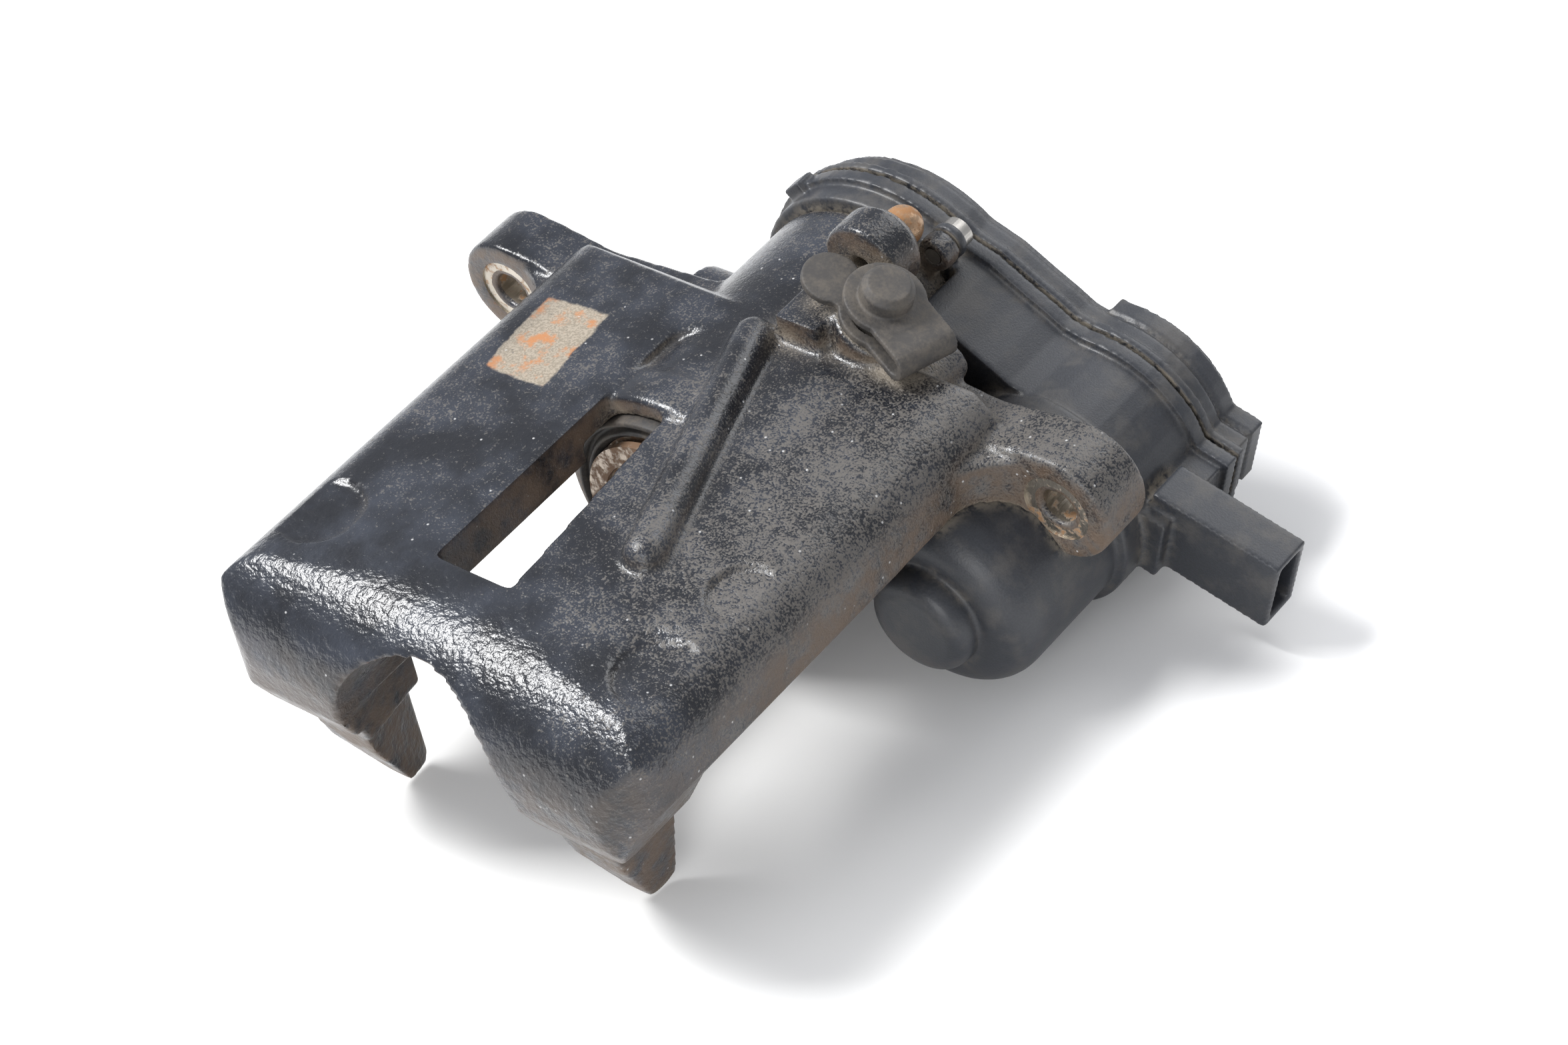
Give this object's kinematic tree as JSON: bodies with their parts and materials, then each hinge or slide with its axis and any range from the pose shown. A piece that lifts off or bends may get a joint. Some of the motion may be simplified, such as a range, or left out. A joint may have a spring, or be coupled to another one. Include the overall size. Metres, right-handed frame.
{
  "type": "brake caliper",
  "caption": "Floating rear disc brake caliper: cast bridge with two-finger claw, single piston, and a geared electric parking brake actuator with spindle and nut.",
  "frame": {"origin": "midway between the two guide pin holes, on the plane of their machined seats", "axes": "+X towards the parking brake motor, -Y along the guide pins and the piston's push towards the claw, +Z away from the wheel's axis"},
  "size_m": [0.2003, 0.1805, 0.0892],
  "materials": {
    "painted_iron": "black paint over rough cast iron, glossy, with road dust in the corners",
    "bare_steel": "turned steel",
    "rusty_steel": "bare steel with a film of rust",
    "black_plastic": "glass-filled plastic, matt, dusty in the seams",
    "nylon": "natural nylon",
    "rubber": "soft rubber with a film of dust",
    "bronze": "sintered bronze",
    "contact": "plated contact"
  },
  "bodies": {
    "housing": {"caliper_housing": "painted_iron", "piston_seal": "rubber", "dust_boot": "rubber", "thrust_bearing": "bare_steel", "thrust_washer": "bare_steel", "spindle_seal": "rubber", "drilling_plug": "rusty_steel", "actuator_housing": "black_plastic", "actuator_cover": "black_plastic", "cover_gasket": "rubber", "actuator_seal": "rubber", "actuator_bolts": "bare_steel", "motor_can": "bare_steel", "motor_bearings": "bronze", "idler_axle": "bare_steel", "output_axle": "bare_steel", "ring_gear": "nylon", "connector_pins": "contact"},
    "spindle": {"spindle": "bare_steel", "spindle_circlip": "bare_steel", "planet_carrier": "bare_steel", "planet_pins": "bare_steel"},
    "nut": {"spindle_nut": "bare_steel"},
    "piston": {"piston": "rusty_steel"},
    "output_gear": {"output_gear": "nylon"},
    "idler_gear": {"idler_gear": "nylon"},
    "motor_shaft": {"motor_rotor": "bare_steel", "motor_pinion": "bare_steel"},
    "planet_1": {"planet_gear_1": "nylon"},
    "planet_2": {"planet_gear_2": "nylon"},
    "planet_3": {"planet_gear_3": "nylon"},
    "bleed_screw": {"bleed_screw": "bare_steel"},
    "bleed_cap": {"bleed_cap": "rubber"}
  },
  "joints": [
    {"name": "sun_gear_turn", "type": "hinge", "parent": "housing", "child": "output_gear", "pos_m": [0, 0.044, -0.0075], "axis": [0, 1, 0], "range_deg": [0, 7200]},
    {"name": "spindle_turn", "type": "hinge", "parent": "housing", "child": "spindle", "pos_m": [0, 0.02, -0.0075], "axis": [0, 1, 0], "range_deg": [0, 1441]},
    {"name": "idler_turn", "type": "hinge", "parent": "housing", "child": "idler_gear", "pos_m": [0.03268, 0.046, -0.01687], "axis": [0, 1, 0], "range_deg": [-27773, 0]},
    {"name": "motor_turn", "type": "hinge", "parent": "housing", "child": "motor_shaft", "pos_m": [0.05421, 0.01, -0.02305], "axis": [0, 1, 0], "range_deg": [0, 101831]},
    {"name": "planet_1_turn", "type": "hinge", "parent": "spindle", "child": "planet_1", "pos_m": [0.01154, 0.044, -0.01081], "axis": [0, 1, 0], "range_deg": [-3842, 0]},
    {"name": "planet_2_turn", "type": "hinge", "parent": "spindle", "child": "planet_2", "pos_m": [-0.00863, 0.044, -0.01584], "axis": [0, 1, 0], "range_deg": [-3842, 0]},
    {"name": "planet_3_turn", "type": "hinge", "parent": "spindle", "child": "planet_3", "pos_m": [-0.0029, 0.044, 0.00414], "axis": [0, 1, 0], "range_deg": [-3842, 0]},
    {"name": "nut_slide", "type": "slide", "parent": "housing", "child": "nut", "axis": [0, -1, 0], "range_m": [0, 0.0121]},
    {"name": "piston_slide", "type": "slide", "parent": "housing", "child": "piston", "axis": [0, -1, 0], "range_m": [0, 0.0121]},
    {"name": "bleed_screw_turn", "type": "hinge", "parent": "housing", "child": "bleed_screw", "pos_m": [0.028, 0.008, 0.0264], "axis": [0.3907, 0, 0.9205], "range_deg": [0, 360]},
    {"name": "bleed_cap_pull", "type": "slide", "parent": "housing", "child": "bleed_cap", "axis": [0.3907, 0, 0.9205], "range_m": [0, 0.02]}
  ],
  "couplings": [
    {"joint": "spindle_turn", "follows": "sun_gear_turn", "ratio": 0.2},
    {"joint": "idler_turn", "follows": "sun_gear_turn", "ratio": -3.8571},
    {"joint": "motor_turn", "follows": "sun_gear_turn", "ratio": 14.143},
    {"joint": "planet_1_turn", "follows": "sun_gear_turn", "ratio": -0.53333},
    {"joint": "planet_2_turn", "follows": "sun_gear_turn", "ratio": -0.53333},
    {"joint": "planet_3_turn", "follows": "sun_gear_turn", "ratio": -0.53333},
    {"joint": "nut_slide", "follows": "sun_gear_turn", "m_per_rad": 0.000095493},
    {"joint": "piston_slide", "follows": "sun_gear_turn", "m_per_rad": 0.000095493}
  ]
}
